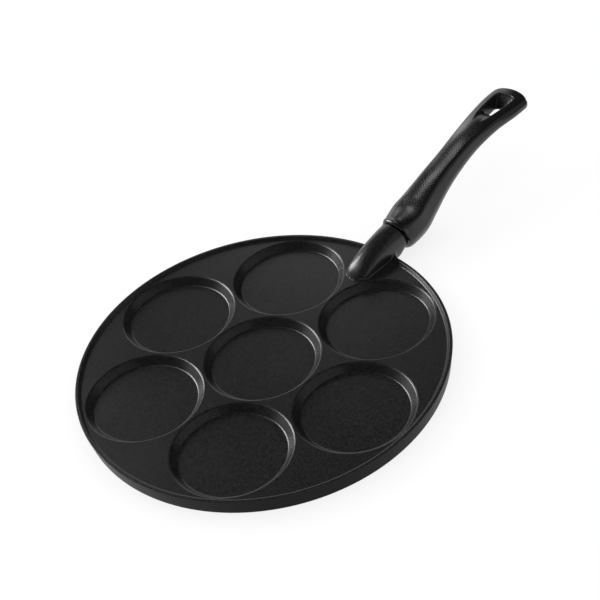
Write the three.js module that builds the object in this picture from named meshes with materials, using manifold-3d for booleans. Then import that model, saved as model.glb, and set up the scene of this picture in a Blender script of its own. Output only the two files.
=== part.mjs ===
import * as THREE from "three";
import { mergeVertices } from "three/addons/utils/BufferGeometryUtils.js";
import Module from "manifold-3d";

// Plett pan: a cast plate with seven round wells, carried on one neck by a moulded handle.
// The origin is the centre of the base plane, +X runs along the handle and +Z is up. Sizes are in mm.

// Plate, rim and skirt
const PAN_DIAMETER = 268;
const PLATE_HEIGHT = 10.7;
const PLATE_THICKNESS = 3.7;
const RIM_HEIGHT = 2.1;
const RIM_WIDTH = 2.2;
const RIM_SLOPE_RUN = 1.9;
const RIM_EDGE_RADIUS = 0.6;
const RIM_FOOT_RADIUS = 1.2;
const SKIRT_DRAFT = 2.1;
const SKIRT_WALL = 3.2;
const SKIRT_EDGE_RADIUS = 1;

// Wells: the land is left at the rim and the web between neighbours, so their size follows the plate
const WELL_DEPTH = 5.5;
const WELL_DRAFT_DEGREES = 40;
const WELL_LAND = 1.5;
const WELL_WEB = 2.6;
const WELL_EDGE_RADIUS = 2;
const WELL_FLOOR_RADIUS = 3;
const BOSS_WALL = 3.4;

// Neck: a nose that rises out of the plate and runs over the rim to a round shoulder
const NOSE_INSET = 35.7;
const NOSE_HALF_WIDTH = 9.5;
const NOSE_ROUND = 8;
const NOSE_RISE = 7;
const NOSE_LEAN = 3;
const NECK_REACH = 15;
const NECK_RADIUS = 12;
const NECK_AXIS_HEIGHT = 6.2;
const NECK_FAIRING = 30.7;
const NECK_TILT_DEGREES = 10;
const NECK_ROOT_DEPTH = 8.4;
const NECK_SINK = 2;

// Tang inside the handle
const TANG_LENGTH = 30;
const TANG_HALF_WIDTH = 8.4;
const TANG_HALF_HEIGHT = 7.4;
const TANG_TAPER = 1.4;

// Handle sections: reach from the lip, axis height over the plate, half width, drop below the axis
// and how square the belly is, then the top panel's half width, ridge height and crown
const LIP = {
  reach: 0, axis: 6.2, half: 14.5, drop: 13.7, square: 2,
  panel: 8, ridge: 12.2, crown: 2.6,
};
const COLLAR = {
  reach: 7, axis: 7, half: 15.8, drop: 15.1, square: 2,
  panel: 9.6, ridge: 12.1, crown: 1.8,
};
const BULB = {
  reach: 17, axis: 9, half: 15.9, drop: 15.8, square: 2.1,
  panel: 12, ridge: 11.3, crown: 1.3,
};
const THROAT = {
  reach: 31, axis: 14.5, half: 14.6, drop: 14.2, square: 2.2,
  panel: 10.8, ridge: 10.1, crown: 2.2,
};
const GRIP = {
  reach: 49, axis: 22.8, half: 12.9, drop: 11.6, square: 2.3,
  panel: 9, ridge: 8.6, crown: 1.2,
};
const WAIST = {
  reach: 69, axis: 29.6, half: 11.6, drop: 9.8, square: 2.4,
  panel: 8.4, ridge: 7.2, crown: 0.9,
};
const FLARE = {
  reach: 91, axis: 35.9, half: 11.8, drop: 8.1, square: 2.8,
  panel: 9.4, ridge: 6.1, crown: 1.1,
};
const SHOULDER = {
  reach: 115, axis: 39.9, half: 14.1, drop: 6.5, square: 3.4,
  panel: 11.9, ridge: 4.8, crown: 1.6,
};
const PADDLE = {
  reach: 137, axis: 40.9, half: 16.8, drop: 5.8, square: 4.2,
  panel: 13.8, ridge: 4.3, crown: 1.5,
};
const TAIL = {
  reach: 157, axis: 41, half: 16.5, drop: 5.2, square: 5.6,
  panel: 13.6, ridge: 4, crown: 1.2,
};

// Walls between the belly and the panel: round at the lip, nearly straight along the grip
const LIP_BULGE = 2.2;
const WALL_BULGE = 1.2;

// Tail: a bowed end whose corners and edges are rounded
const TAIL_BOW = 5.8;
const TAIL_CORNER = 5;
const TAIL_EDGE = 1;

// Hang slot: a drop-shaped mouth on the paddle that ramps down to a small eye underneath. Each
// outline has its widest place, its run to the tip and to the end, its half width and how square
// the tip and the end are
const SLOT_MOUTH = { reach: 140, tip: 35, end: 7.5, half: 8.1, tipSquare: 1.9, endSquare: 3.4 };
const SLOT_EYE = { reach: 133.5, tip: 9.5, end: 7.8, half: 5.2, tipSquare: 2.4, endSquare: 3 };

// Screw and washer under the bulb
const SCREW_REACH = 16;
const SCREW_RADIUS = 2.5;
const SCREW_ENGAGEMENT = 9;
const SCREW_HEAD_RADIUS = 4.3;
const SCREW_HEAD_HEIGHT = 3;
const SCREW_DRIVE_WIDTH = 1.3;
const SCREW_DRIVE_DEPTH = 1.6;
const SCREW_SEAT_WALL = 3.2;
const WASHER_WIDTH = 1.7;
const WASHER_THICKNESS = 1.2;
const WASHER_SPLIT_DEGREES = 12;
const FIT_GAP = 0.3;
const HEAD_CLEARANCE = 0.8;

// Fineness of the curves
const RIM_SEGMENTS = 80;
const WELL_SEGMENTS = 40;
const RING_POINTS = 28;
const WALL_POINTS = 4;
const NECK_STATIONS = 16;
const HANDLE_STATIONS = 24;
const ARC_STEPS = 2;

const rimRadius = PAN_DIAMETER / 2;
const rimTop = PLATE_HEIGHT + RIM_HEIGHT;
const baseRadius = rimRadius - SKIRT_DRAFT;
const rimFoot = rimRadius - RIM_WIDTH - RIM_SLOPE_RUN;
const plateUnder = PLATE_HEIGHT - PLATE_THICKNESS;
const mouthRadius = (rimFoot - WELL_LAND - WELL_WEB) / 3;
const wellPitch = 2 * mouthRadius + WELL_WEB;
const wellDraft = THREE.MathUtils.degToRad(WELL_DRAFT_DEGREES);
const floorHeight = PLATE_HEIGHT - WELL_DEPTH;
const floorRadius = mouthRadius - WELL_DEPTH * Math.tan(wellDraft);
const lipX = rimRadius + NECK_REACH;

const wasm = await Module();
wasm.setup();

function solidOf(geometry) {
  const bare = geometry.clone();
  bare.deleteAttribute("normal");
  bare.deleteAttribute("uv");
  const merged = mergeVertices(bare, 1e-4);
  const index = merged.index.array;
  const triVerts = [];
  for (let i = 0; i < index.length; i += 3) {
    const [a, b, c] = index.slice(i, i + 3);
    if (a !== b && b !== c && c !== a) {
      triVerts.push(a, b, c);
    }
  }
  const mesh = new wasm.Mesh({
    numProp: 3,
    vertProperties: merged.attributes.position.array,
    triVerts: new Uint32Array(triVerts),
  });
  return new wasm.Manifold(mesh);
}

function geometryOf(solid) {
  const mesh = solid.getMesh();
  const geometry = new THREE.BufferGeometry();
  geometry.setAttribute("position", new THREE.Float32BufferAttribute(mesh.vertProperties, 3));
  geometry.setIndex(Array.from(mesh.triVerts));
  geometry.computeVertexNormals();
  return geometry;
}

// A profile in radius and height whose corners are rounded by their own radius.
function roundedProfile(corners) {
  const points = [];
  corners.forEach(([r, z, radius], i) => {
    const corner = new THREE.Vector2(r, z);
    if (!radius) {
      points.push(corner);
      return;
    }
    const before = new THREE.Vector2(...corners[i - 1]).sub(corner).normalize();
    const after = new THREE.Vector2(...corners[i + 1]).sub(corner).normalize();
    const half = Math.acos(before.dot(after)) / 2;
    const centre = before.clone().add(after).setLength(radius / Math.sin(half)).add(corner);
    const start = before.clone().multiplyScalar(radius / Math.tan(half)).add(corner);
    const turn = (Math.PI - 2 * half) * Math.sign(after.cross(before));
    for (let k = 0; k <= ARC_STEPS; k++) {
      points.push(start.clone().rotateAround(centre, (turn * k) / ARC_STEPS));
    }
  });
  return points;
}

function revolve(corners, segments) {
  const lathe = new THREE.LatheGeometry(roundedProfile(corners), segments);
  return lathe.rotateX(Math.PI / 2);
}

// A closed skin over rings of equal point count, with a flat cap at each end.
function loft(rings) {
  const count = rings[0].length;
  const centres = [rings[0], rings.at(-1)].map((ring) => {
    const sum = ring.reduce((total, point) => total.add(point), new THREE.Vector3());
    return sum.divideScalar(count);
  });
  const first = rings.length * count;
  const last = first + 1;
  const index = [];
  for (let j = 0; j < count; j++) {
    const next = (j + 1) % count;
    index.push(first, next, j);
    for (let i = 0; i + 1 < rings.length; i++) {
      const low = i * count;
      const high = low + count;
      index.push(low + j, low + next, high + j);
      index.push(low + next, high + next, high + j);
    }
    const end = (rings.length - 1) * count;
    index.push(last, end + j, end + next);
  }
  const geometry = new THREE.BufferGeometry().setFromPoints([...rings.flat(), ...centres]);
  return geometry.setIndex(index);
}

function power(value, exponent) {
  return Math.sign(value) * Math.pow(Math.abs(value), exponent);
}

// One section across the handle's run, turned by the tilt so that it stays square to the axis.
function section({ x, axis, half, rise, drop, square, squareBelow = square, tilt = 0 }) {
  return Array.from({ length: RING_POINTS }, (_, j) => {
    const angle = (2 * Math.PI * j) / RING_POINTS;
    const above = Math.sin(angle) >= 0;
    const exponent = 2 / (above ? square : squareBelow);
    const out = (above ? rise : drop) * power(Math.sin(angle), exponent);
    const across = half * power(Math.cos(angle), exponent);
    return new THREE.Vector3(x - out * Math.sin(tilt), across, axis + out * Math.cos(tilt));
  });
}

// Plate with its rim and skirt, hollow underneath.
function makePlate() {
  const skirtInner = baseRadius - SKIRT_WALL;
  const corners = [
    [0, plateUnder],
    [skirtInner, plateUnder, SKIRT_WALL / 2],
    [skirtInner, 0],
    [baseRadius, 0, SKIRT_EDGE_RADIUS],
    [rimRadius, rimTop, RIM_EDGE_RADIUS],
    [rimRadius - RIM_WIDTH, rimTop, RIM_EDGE_RADIUS],
    [rimFoot, PLATE_HEIGHT, RIM_FOOT_RADIUS],
    [0, PLATE_HEIGHT],
  ];
  return solidOf(revolve(corners, RIM_SEGMENTS));
}

// Cutter for one well: flat floor, drafted wall and a mouth that rolls over onto the plate.
function makeWellCutter() {
  const roll = WELL_EDGE_RADIUS * Math.tan((Math.PI / 2 - wellDraft) / 2);
  const clear = PLATE_HEIGHT + 2 * RIM_HEIGHT;
  const corners = [
    [0, floorHeight],
    [floorRadius, floorHeight, WELL_FLOOR_RADIUS],
    [mouthRadius, PLATE_HEIGHT, WELL_EDGE_RADIUS],
    [mouthRadius + roll, PLATE_HEIGHT],
    [mouthRadius + roll, clear],
    [0, clear],
  ];
  return revolve(corners, WELL_SEGMENTS);
}

// Boss under one well: its flank follows the well's wall and its foot stands on the base plane.
function makeBoss() {
  const slope = Math.tan(wellDraft);
  const footRadius = floorRadius - floorHeight * slope + BOSS_WALL / Math.cos(wellDraft);
  const top = plateUnder + PLATE_THICKNESS / 4;
  const corners = [
    [0, 0],
    [footRadius, 0],
    [footRadius + top * slope, top],
    [0, top],
  ];
  return revolve(corners, WELL_SEGMENTS);
}

function wellCentres() {
  const centres = [new THREE.Vector3()];
  for (let k = 0; k < 6; k++) {
    const angle = THREE.MathUtils.degToRad(30 + 60 * k);
    centres.push(new THREE.Vector3(wellPitch * Math.cos(angle), wellPitch * Math.sin(angle), 0));
  }
  return centres;
}

function makeNeck() {
  const length = NOSE_INSET + NECK_REACH;
  const crestHeight = NECK_AXIS_HEIGHT + NECK_RADIUS;
  const crest = new THREE.CubicBezierCurve(
    new THREE.Vector2(0, 0),
    new THREE.Vector2(NOSE_LEAN, NOSE_RISE),
    new THREE.Vector2(length - NECK_FAIRING, crestHeight - 1),
    new THREE.Vector2(length, crestHeight),
  );
  const skirtStart = NOSE_INSET - SKIRT_DRAFT - SKIRT_WALL;
  const skirtEnd = NOSE_INSET - SKIRT_DRAFT;
  const shoulderDrop = NECK_RADIUS - NECK_AXIS_HEIGHT;
  const rings = [];
  for (let i = 0; i <= NECK_STATIONS; i++) {
    const point = crest.getPoint(Math.max(i, 0.3) / NECK_STATIONS);
    const along = point.x / length;
    const nose = 1 - Math.min(point.x / NOSE_ROUND, 1);
    const outside = THREE.MathUtils.smoothstep(point.x, skirtStart, skirtEnd);
    const beyond = THREE.MathUtils.smoothstep(point.x, skirtEnd, length);
    const axis = NECK_AXIS_HEIGHT * along;
    const rootDrop = THREE.MathUtils.lerp(NECK_SINK, NECK_ROOT_DEPTH, outside);
    const drop = axis + THREE.MathUtils.lerp(rootDrop, shoulderDrop, beyond);
    const fullHalf = THREE.MathUtils.lerp(NOSE_HALF_WIDTH, NECK_RADIUS, along);
    const ring = section({
      x: lipX - FIT_GAP - length + point.x,
      axis: PLATE_HEIGHT + axis,
      half: fullHalf * Math.sqrt(1 - nose * nose),
      rise: point.y - axis,
      drop,
      square: THREE.MathUtils.lerp(2.5, 2, along),
      squareBelow: THREE.MathUtils.lerp(5, 2, Math.max(beyond, outside * 0.6)),
      tilt: THREE.MathUtils.degToRad(NECK_TILT_DEGREES) * beyond,
    });
    rings.push(ring);
  }
  return solidOf(loft(rings));
}

const handleStations = [LIP, COLLAR, BULB, THROAT, GRIP, WAIST, FLARE, SHOULDER, PADDLE, TAIL];
const handleFields = ["axis", "half", "drop", "square", "panel", "ridge", "crown"];
const handleCurve = new THREE.CubicInterpolant(
  handleStations.map((station) => station.reach),
  handleStations.flatMap((station) => handleFields.map((field) => station[field])),
  handleFields.length,
);

// The handle's section values at any reach from the lip.
function handleAt(reach) {
  const values = Array.from(handleCurve.evaluate(reach));
  const fields = Object.fromEntries(handleFields.map((field, i) => [field, values[i]]));
  const step = 0.5;
  const ahead = handleCurve.evaluate(Math.min(reach + step, TAIL.reach))[0];
  const behind = handleCurve.evaluate(Math.max(reach - step, 0))[0];
  const lipTilt = THREE.MathUtils.degToRad(NECK_TILT_DEGREES);
  const blend = THREE.MathUtils.smoothstep(reach, 0, BULB.reach);
  const tilt = THREE.MathUtils.lerp(lipTilt, Math.atan2(ahead - behind, 2 * step), blend);
  const bow = TAIL_BOW * THREE.MathUtils.smoothstep(reach, SHOULDER.reach, TAIL.reach);
  const bulge = THREE.MathUtils.lerp(LIP_BULGE, WALL_BULGE, blend);
  return { ...fields, x: reach, tilt, bow, bulge };
}

// One handle section: a belly below the axis, walls that lean in to two ridges above it, and a
// crowned panel between the ridges.
function handleSection({ x, axis, half, drop, square, panel, ridge, crown, bulge, tilt, bow }) {
  const quarter = RING_POINTS / 4;
  return Array.from({ length: RING_POINTS }, (_, j) => {
    const angle = (2 * Math.PI * j) / RING_POINTS;
    const fromMiddle = Math.abs(quarter - j);
    const level = Math.min((quarter - fromMiddle) / WALL_POINTS, 1);
    const edge = Math.min(fromMiddle / (quarter - WALL_POINTS), 1);
    const wall = (half - panel) * (1 - Math.pow(Math.max(level, 0), bulge));
    const above = j <= 2 * quarter;
    const belly = power(Math.sin(angle), 2 / square) * drop;
    const flank = power(Math.cos(angle), 2 / square) * half;
    const out = above ? ridge * level + crown * (1 - edge * edge) : belly;
    const across = above ? Math.sign(quarter - j) * (panel * edge + wall) : flank;
    const along = x - out * Math.sin(tilt) - bow * (across / TAIL.half) ** 2;
    return new THREE.Vector3(along, across, axis + out * Math.cos(tilt));
  });
}

// How far a rounded end lies inside its straight sides at a distance from the end.
function endInset(radius, toEnd) {
  const over = Math.max(radius - toEnd, 0);
  return radius - Math.sqrt(radius * radius - over * over);
}

function makeHandleSkin() {
  const rings = [];
  const straight = TAIL.reach - TAIL_CORNER;
  for (let i = 0; i <= HANDLE_STATIONS; i++) {
    rings.push(handleSection(handleAt((straight * i) / HANDLE_STATIONS)));
  }
  for (const share of [0.35, 0.65, 0.87, 0.96, 1]) {
    const at = handleAt(straight + TAIL_CORNER * share);
    const toEnd = TAIL_CORNER * (1 - share);
    at.half -= endInset(TAIL_CORNER, toEnd);
    at.panel -= endInset(TAIL_CORNER, toEnd);
    at.ridge -= endInset(TAIL_EDGE, toEnd);
    at.drop -= endInset(TAIL_EDGE, toEnd);
    rings.push(handleSection(at));
  }
  return solidOf(loft(rings));
}

// The tang follows the handle's axis; grown by the fit gap it cuts the handle's socket.
function makeTang(start, end, grow) {
  const steps = 5;
  const rings = [];
  for (let i = 0; i <= steps; i++) {
    const reach = THREE.MathUtils.lerp(start, end, i / steps);
    const { axis, tilt } = handleAt(Math.max(reach, 0));
    const shrink = (TANG_TAPER * reach) / TANG_LENGTH;
    const height = TANG_HALF_HEIGHT - shrink + grow;
    const half = TANG_HALF_WIDTH - shrink + grow;
    rings.push(section({ x: reach, axis, half, rise: height, drop: height, square: 3, tilt }));
  }
  return solidOf(loft(rings));
}

// Outline of the hang slot at one height.
function slotRing({ reach, tip, end, half, tipSquare, endSquare }, height) {
  return Array.from({ length: RING_POINTS }, (_, j) => {
    const angle = (2 * Math.PI * j) / RING_POINTS;
    const behind = Math.cos(angle) > 0;
    const exponent = 2 / (behind ? endSquare : tipSquare);
    const x = reach + (behind ? end : tip) * power(Math.cos(angle), exponent);
    return new THREE.Vector3(x, half * power(Math.sin(angle), exponent), height);
  });
}

// Between the eye and the mouth the tip runs out faster than the rest, so that it ends in a ramp.
function makeSlotCutter() {
  const low = PADDLE.axis - PADDLE.drop;
  const high = PADDLE.axis + PADDLE.ridge + PADDLE.crown;
  const rings = [slotRing(SLOT_EYE, low - PADDLE.drop)];
  for (const share of [0, 0.45, 0.75, 1]) {
    const outline = {};
    for (const field of Object.keys(SLOT_EYE)) {
      outline[field] = THREE.MathUtils.lerp(SLOT_EYE[field], SLOT_MOUTH[field], share);
    }
    const eyeTip = SLOT_EYE.reach - SLOT_EYE.tip;
    const mouthTip = SLOT_MOUTH.reach - SLOT_MOUTH.tip;
    outline.tip = outline.reach - THREE.MathUtils.lerp(eyeTip, mouthTip, share * share);
    rings.push(slotRing(outline, THREE.MathUtils.lerp(low, high, share)));
  }
  rings.push(slotRing(SLOT_MOUTH, high + PADDLE.drop));
  return solidOf(loft(rings));
}

function makeRod(radius, low, high, x) {
  const rod = new THREE.CylinderGeometry(radius, radius, high - low, 24);
  rod.rotateX(Math.PI / 2);
  rod.translate(x, 0, (low + high) / 2);
  return solidOf(rod);
}

// Heights of the screw joint over the plate, in the handle's frame.
const screwAt = handleAt(SCREW_REACH);
const tangUnder = screwAt.axis - TANG_HALF_HEIGHT + (TANG_TAPER * SCREW_REACH) / TANG_LENGTH;
const seatHeight = tangUnder - FIT_GAP - SCREW_SEAT_WALL;
const washerTop = seatHeight - FIT_GAP;
const headTop = washerTop - WASHER_THICKNESS - FIT_GAP;
const screwTop = tangUnder + SCREW_ENGAGEMENT;

function makeCasting() {
  const cutter = makeWellCutter();
  const boss = makeBoss();
  let casting = makePlate();
  for (const centre of wellCentres()) {
    casting = casting.add(solidOf(boss.clone().translate(centre.x, centre.y, 0)));
  }
  for (const centre of wellCentres()) {
    casting = casting.subtract(solidOf(cutter.clone().translate(centre.x, centre.y, 0)));
  }
  const holeRadius = SCREW_RADIUS + FIT_GAP;
  const tappedHole = makeRod(holeRadius, tangUnder - NECK_RADIUS, screwTop + FIT_GAP, SCREW_REACH);
  const tang = makeTang(-NECK_REACH / 4, TANG_LENGTH, 0).subtract(tappedHole);
  return casting.add(makeNeck()).add(tang.translate(lipX, 0, PLATE_HEIGHT));
}

function makeHandle() {
  const socket = makeTang(-NECK_REACH / 4, TANG_LENGTH + FIT_GAP, FIT_GAP);
  const clearance = makeRod(SCREW_RADIUS + FIT_GAP, seatHeight - 1, tangUnder + 1, SCREW_REACH);
  const bore = makeRod(SCREW_HEAD_RADIUS + HEAD_CLEARANCE, seatHeight - NECK_RADIUS, seatHeight, SCREW_REACH);
  return makeHandleSkin().subtract(socket).subtract(clearance).subtract(bore).subtract(makeSlotCutter());
}

// Pan-head screw, head down, with a cross recess. Its own origin is the seat under the head.
function makeScrew() {
  const shank = screwTop - headTop;
  const corners = [
    [0, -SCREW_HEAD_HEIGHT],
    [SCREW_HEAD_RADIUS, -SCREW_HEAD_HEIGHT, SCREW_HEAD_HEIGHT / 2],
    [SCREW_HEAD_RADIUS, 0],
    [SCREW_RADIUS, 0],
    [SCREW_RADIUS, shank - SCREW_RADIUS / 2],
    [SCREW_RADIUS / 2, shank],
    [0, shank],
  ];
  const arm = new THREE.BoxGeometry(SCREW_HEAD_RADIUS, SCREW_DRIVE_WIDTH, 2 * SCREW_DRIVE_DEPTH);
  arm.translate(0, 0, -SCREW_HEAD_HEIGHT);
  const crossArm = arm.clone().rotateZ(Math.PI / 2);
  return solidOf(revolve(corners, 24)).subtract(solidOf(arm)).subtract(solidOf(crossArm));
}

// Split spring washer, its own origin at the middle of its upper face.
function makeWasher() {
  const inner = SCREW_RADIUS + FIT_GAP;
  const split = THREE.MathUtils.degToRad(WASHER_SPLIT_DEGREES) / 2;
  const ring = new THREE.Shape();
  ring.absarc(0, 0, inner + WASHER_WIDTH, split, 2 * Math.PI - split, false);
  ring.absarc(0, 0, inner, 2 * Math.PI - split, split, true);
  const settings = { depth: WASHER_THICKNESS, bevelEnabled: false, curveSegments: 20 };
  const plate = new THREE.ExtrudeGeometry(ring, settings);
  return solidOf(plate.translate(0, 0, -WASHER_THICKNESS));
}

function makeMesh(name, solid, material) {
  const mesh = new THREE.Mesh(geometryOf(solid), material);
  mesh.name = name;
  return mesh;
}

const coat = new THREE.MeshStandardMaterial({ color: 0x26272a, roughness: 0.42, metalness: 0.15 });
const phenolic = new THREE.MeshStandardMaterial({ color: 0x2b2b2c, roughness: 0.6, metalness: 0 });
const steel = new THREE.MeshStandardMaterial({ color: 0x9b9da0, roughness: 0.35, metalness: 1 });
const springSteel = new THREE.MeshStandardMaterial({ color: 0x77797c, roughness: 0.4, metalness: 1 });

const screw = makeMesh("handle_screw", makeScrew(), steel);
screw.position.set(SCREW_REACH, 0, headTop);
const washer = makeMesh("lock_washer", makeWasher(), springSteel);
washer.position.set(SCREW_REACH, 0, washerTop);

const handleGroup = new THREE.Group();
handleGroup.position.set(lipX, 0, PLATE_HEIGHT);
handleGroup.add(makeMesh("handle", makeHandle(), phenolic), screw, washer);

const plettPan = new THREE.Group();
plettPan.add(makeMesh("pan_casting", makeCasting(), coat), handleGroup);

export default plettPan;
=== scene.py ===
"""Plett pan: a black cast plate with seven round wells, carried on one neck by a moulded handle.

Lengths in the sub-assembly classes are millimetres in the part's own frame: the origin is the
centre of the base plane, +X runs along the handle and +Z is up. Meshes are written in metres.
"""

import logging
import math
from abc import ABC, abstractmethod
from dataclasses import dataclass
from enum import Enum
from typing import Callable, Sequence

import bmesh
import bpy
import numpy as np
from bpy.types import Material, Mesh, NodeSocket, NodeTree, Object
from mathutils import Matrix, Vector


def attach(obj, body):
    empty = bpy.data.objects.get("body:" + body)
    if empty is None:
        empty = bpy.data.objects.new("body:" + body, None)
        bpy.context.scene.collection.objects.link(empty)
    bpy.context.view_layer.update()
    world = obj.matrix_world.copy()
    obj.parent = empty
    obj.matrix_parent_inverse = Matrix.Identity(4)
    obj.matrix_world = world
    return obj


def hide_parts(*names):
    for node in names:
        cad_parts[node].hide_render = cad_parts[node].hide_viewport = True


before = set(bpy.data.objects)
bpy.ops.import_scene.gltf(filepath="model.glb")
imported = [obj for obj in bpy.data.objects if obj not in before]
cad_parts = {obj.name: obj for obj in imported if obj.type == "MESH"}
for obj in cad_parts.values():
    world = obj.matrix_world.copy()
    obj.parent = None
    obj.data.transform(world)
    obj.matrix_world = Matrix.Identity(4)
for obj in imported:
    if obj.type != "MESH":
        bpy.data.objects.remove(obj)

MM = 0.001
WHITE = (1.0, 1.0, 1.0, 1.0)
BLACK = (0.0, 0.0, 0.0, 1.0)
SEEN_RAYS = ("Is Camera Ray", "Is Glossy Ray", "Is Transmission Ray")
LOG = logging.getLogger("plett_pan")
Array = np.ndarray
Form = Callable[[Array], Array]
Band = tuple[float, float]
Triple = tuple[float, float, float]


def soft_step(value: Array, low: float, high: float) -> Array:
    """Ease a value from 0 at low to 1 at high."""
    share = np.clip((value - low) / (high - low), 0.0, 1.0)
    return share * share * (3.0 - 2.0 * share)


def soft_join(a: Array, b: Array, width: Array | float) -> Array:
    """Join two signed forms, with a hollow fillet of that width between them."""
    near = np.maximum(width - np.abs(a - b), 0.0) / width
    return np.minimum(a, b) - near * near * width * 0.25


def soft_cut(a: Array, b: Array, width: Array | float) -> Array:
    """Keep what lies in both signed forms, with a round of that width between them."""
    return -soft_join(-a, -b, width)


def oval_distance(across: Array, up: Array, half: Array, height: Array, square: Array) -> Array:
    """Signed distance to a squared oval, good near its edge.

    Args:
        across: Distance from the middle plane, not negative.
        up: Height from the axis, not negative.
        half: Half width of the oval.
        height: Height of the oval from its axis.
        square: Exponent: 2 is an ellipse, more is squarer.

    Returns:
        Distance, negative inside.
    """
    side = across / half
    rise = up / height
    size = np.maximum((side**square + rise**square) ** (1.0 / square), 1e-6)
    slope_side = (side / size) ** (square - 1.0) / half
    slope_rise = (rise / size) ** (square - 1.0) / height
    return (size - 1.0) / np.sqrt(slope_side**2 + slope_rise**2)


def polygon_distance(x: Array, y: Array, corners: Sequence[Band]) -> Array:
    """Signed distance to a polygon.

    Args:
        x: First coordinate of the points.
        y: Second coordinate of the points.
        corners: Corners of the polygon in turn.

    Returns:
        Distance, negative inside.
    """
    nearest = np.full(x.shape, np.inf)
    inside = np.zeros(x.shape, dtype=bool)
    previous = corners[-1]
    for corner in corners:
        ex, ey = previous[0] - corner[0], previous[1] - corner[1]
        wx, wy = x - corner[0], y - corner[1]
        along = np.clip((wx * ex + wy * ey) / (ex * ex + ey * ey), 0.0, 1.0)
        nearest = np.minimum(nearest, (wx - ex * along) ** 2 + (wy - ey * along) ** 2)
        if ey:
            spans = (corner[1] > y) != (previous[1] > y)
            inside ^= spans & (x < corner[0] + (y - corner[1]) * ex / ey)
        previous = corner
    return np.where(inside, -1.0, 1.0) * np.sqrt(nearest)


@dataclass(frozen=True)
class FormSkin:
    """Wraps a signed form, negative inside, in an even quad skin."""

    low: Triple
    high: Triple
    step: float
    batches: int = 12
    first_moves: int = 3
    rounds: int = 3
    round_moves: int = 2

    def wrap(self, form: Form) -> tuple[Array, Array]:
        """Find the skin, settle its points on the form and even them out.

        Args:
            form: The signed form as a function of points.

        Returns:
            Points of the skin and its quads.
        """
        axes = [np.arange(a, b + self.step, self.step) for a, b in zip(self.low, self.high)]
        grid = np.stack(np.meshgrid(*axes, indexing="ij"), axis=-1)
        batches = np.array_split(grid.reshape(-1, 3), self.batches)
        values = np.concatenate([form(batch) for batch in batches]).reshape(grid.shape[:3])
        points, quads = self._net(values)
        points = self._settle(points, form, self.first_moves)
        for _ in range(self.rounds):
            points = self._settle(self._even(points, quads), form, self.round_moves)
        return points, quads

    def _net(self, values: Array) -> tuple[Array, Array]:
        """Span a net of quads over the grid's edges that cross the skin.

        Args:
            values: The form on the grid, positive all along the grid's border.

        Returns:
            One point for each crossed cell, and one quad, facing out, for each crossed edge.
        """
        inside = values < 0.0
        cells, spots, outward = [], [], []
        for axis in range(3):
            d, e, f = np.roll(np.eye(3, dtype=int), -axis, axis=0)
            nodes = np.argwhere(inside != np.roll(inside, -1, axis=axis))
            near, far = values[tuple(nodes.T)], values[tuple((nodes + d).T)]
            around = [(nodes - shift).T for shift in (e + f, f, 0 * e, e)]
            ring = [np.ravel_multi_index(cell, values.shape) for cell in around]
            cells.append(np.stack(ring, axis=1))
            spots.append(nodes + (near / (near - far))[:, None] * d)
            outward.append(near < 0.0)
        number = np.unique(np.concatenate(cells), return_inverse=True)[1].ravel()
        spots = np.repeat(np.concatenate(spots), 4, axis=0)
        total = np.stack([np.bincount(number, spots[:, i]) for i in range(3)], axis=1)
        points = np.array(self.low) + self.step * total / np.bincount(number)[:, None]
        quads = number.reshape(-1, 4)
        return points, np.where(np.concatenate(outward)[:, None], quads, quads[:, ::-1])

    def _settle(self, points: Array, form: Form, moves: int) -> Array:
        """Move points onto the form along its slope.

        Args:
            points: Points near the skin.
            form: The signed form.
            moves: How many moves are made.

        Returns:
            The moved points.
        """
        reach = self.step * 0.05
        for _ in range(moves):
            sides = [form(points + reach * e) - form(points - reach * e) for e in np.eye(3)]
            slope = np.stack([side / (2.0 * reach) for side in sides], axis=1)
            size = np.maximum((slope**2).sum(axis=1), 1e-3)
            move = np.clip(form(points) / np.sqrt(size), -self.step, self.step)
            points = points - (move / np.sqrt(size))[:, None] * slope
        return points

    @staticmethod
    def _even(points: Array, quads: Array) -> Array:
        """Draw each point half way to the middle of its neighbours.

        Args:
            points: Points of the skin.
            quads: Its quads.

        Returns:
            The evened points.
        """
        total = np.zeros_like(points)
        count = np.zeros(len(points))
        for k in range(4):
            a, b = quads[:, k], quads[:, (k + 1) % 4]
            for i in range(3):
                total[:, i] += np.bincount(a, points[b, i], len(points))
                total[:, i] += np.bincount(b, points[a, i], len(points))
            count += np.bincount(a, minlength=len(points)) + np.bincount(b, minlength=len(points))
        return 0.5 * points + 0.5 * total / np.maximum(count, 1.0)[:, None]


@dataclass(frozen=True)
class Corner:
    """One corner of a turned profile: radius from the axis, height, and how far it is rounded."""

    radius: float
    height: float
    round: float = 0.0


def rounded_profile(corners: Sequence[Corner], steps: int) -> list[Band]:
    """Round the corners of a profile.

    Args:
        corners: The profile's corners in turn.
        steps: Facets of each round.

    Returns:
        Points of the profile as radius and height.
    """
    points: list[Band] = []
    places = [Vector((corner.radius, corner.height)) for corner in corners]
    for i, corner in enumerate(corners):
        here = places[i]
        if corner.round == 0.0:
            points.append((here.x, here.y))
            continue
        before = (places[i - 1] - here).normalized()
        after = (places[i + 1] - here).normalized()
        half = math.acos(max(-1.0, min(1.0, before.dot(after)))) / 2.0
        middle = here + (before + after).normalized() * (corner.round / math.sin(half))
        start = here + before * (corner.round / math.tan(half)) - middle
        turn = (math.pi - 2.0 * half) * (1.0 if before.cross(after) < 0.0 else -1.0)
        for k in range(steps + 1):
            arm = Matrix.Rotation(turn * k / steps, 2) @ start
            points.append((middle.x + arm.x, middle.y + arm.y))
    return points


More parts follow.
